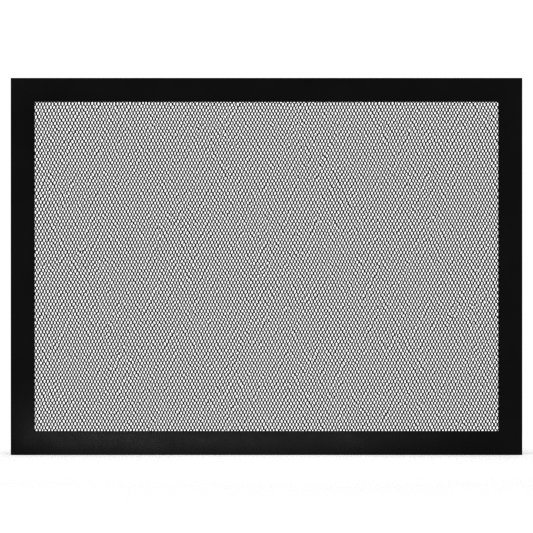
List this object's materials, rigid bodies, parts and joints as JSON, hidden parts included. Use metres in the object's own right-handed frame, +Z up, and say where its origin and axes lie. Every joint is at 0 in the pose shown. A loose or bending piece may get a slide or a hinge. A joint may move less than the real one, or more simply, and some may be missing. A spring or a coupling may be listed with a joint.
{
  "type": "fireplace screen",
  "caption": "Flat rectangular fireplace screen: black steel angle frame filled with fine woven wire mesh, standing on its bottom rail and swinging rear feet.",
  "frame": {"origin": "on the floor, in the middle of the footprint", "axes": "+X along the width to the right seen from the front, +Y from the front face to the back, +Z up"},
  "size_m": [0.9652, 0.1906, 0.7112],
  "materials": {
    "frame_powder_coat": "satin",
    "mesh_wire": "satin",
    "zinc_plate": "satin",
    "washer_nylon": "satin",
    "toe_rubber": "matte"
  },
  "bodies": {
    "panel": {"top_rail": "frame_powder_coat", "bottom_rail": "frame_powder_coat", "left_stile": "frame_powder_coat", "right_stile": "frame_powder_coat", "woven_mesh": "mesh_wire", "mesh_retainer_top": "frame_powder_coat", "mesh_retainer_bottom": "frame_powder_coat", "mesh_retainer_left": "frame_powder_coat", "mesh_retainer_right": "frame_powder_coat", "weld_stud_top_1": "zinc_plate", "weld_stud_top_2": "zinc_plate", "weld_stud_top_3": "zinc_plate", "weld_stud_top_4": "zinc_plate", "weld_stud_top_5": "zinc_plate", "weld_stud_bottom_1": "zinc_plate", "weld_stud_bottom_2": "zinc_plate", "weld_stud_bottom_3": "zinc_plate", "weld_stud_bottom_4": "zinc_plate", "weld_stud_bottom_5": "zinc_plate", "weld_stud_left_1": "zinc_plate", "weld_stud_left_2": "zinc_plate", "weld_stud_left_3": "zinc_plate", "weld_stud_right_1": "zinc_plate", "weld_stud_right_2": "zinc_plate", "weld_stud_right_3": "zinc_plate", "hex_nut_top_1": "zinc_plate", "hex_nut_top_2": "zinc_plate", "hex_nut_top_3": "zinc_plate", "hex_nut_top_4": "zinc_plate", "hex_nut_top_5": "zinc_plate", "hex_nut_bottom_1": "zinc_plate", "hex_nut_bottom_2": "zinc_plate", "hex_nut_bottom_3": "zinc_plate", "hex_nut_bottom_4": "zinc_plate", "hex_nut_bottom_5": "zinc_plate", "hex_nut_left_1": "zinc_plate", "hex_nut_left_2": "zinc_plate", "hex_nut_left_3": "zinc_plate", "hex_nut_right_1": "zinc_plate", "hex_nut_right_2": "zinc_plate", "hex_nut_right_3": "zinc_plate", "hinge_leaf_lower_left": "frame_powder_coat", "hinge_leaf_upper_left": "frame_powder_coat", "hinge_leaf_lower_right": "frame_powder_coat", "hinge_leaf_upper_right": "frame_powder_coat", "hinge_washer_lower_left": "washer_nylon", "hinge_washer_upper_left": "washer_nylon", "hinge_washer_lower_right": "washer_nylon", "hinge_washer_upper_right": "washer_nylon", "hinge_pin_left": "zinc_plate", "hinge_pin_right": "zinc_plate"},
    "left_foot": {"foot_knuckle_left": "frame_powder_coat", "foot_plate_left": "frame_powder_coat", "toe_cap_left": "toe_rubber"},
    "right_foot": {"foot_knuckle_right": "frame_powder_coat", "foot_plate_right": "frame_powder_coat", "toe_cap_right": "toe_rubber"}
  },
  "joints": [
    {"name": "left_foot_swing", "type": "hinge", "parent": "panel", "child": "left_foot", "pos_m": [-0.47313, -0.05722, 0.07], "axis": [0, 0, -1], "range_deg": [0, 90]},
    {"name": "right_foot_swing", "type": "hinge", "parent": "panel", "child": "right_foot", "pos_m": [0.47313, -0.05722, 0.07], "axis": [0, 0, 1], "range_deg": [0, 90]}
  ]
}
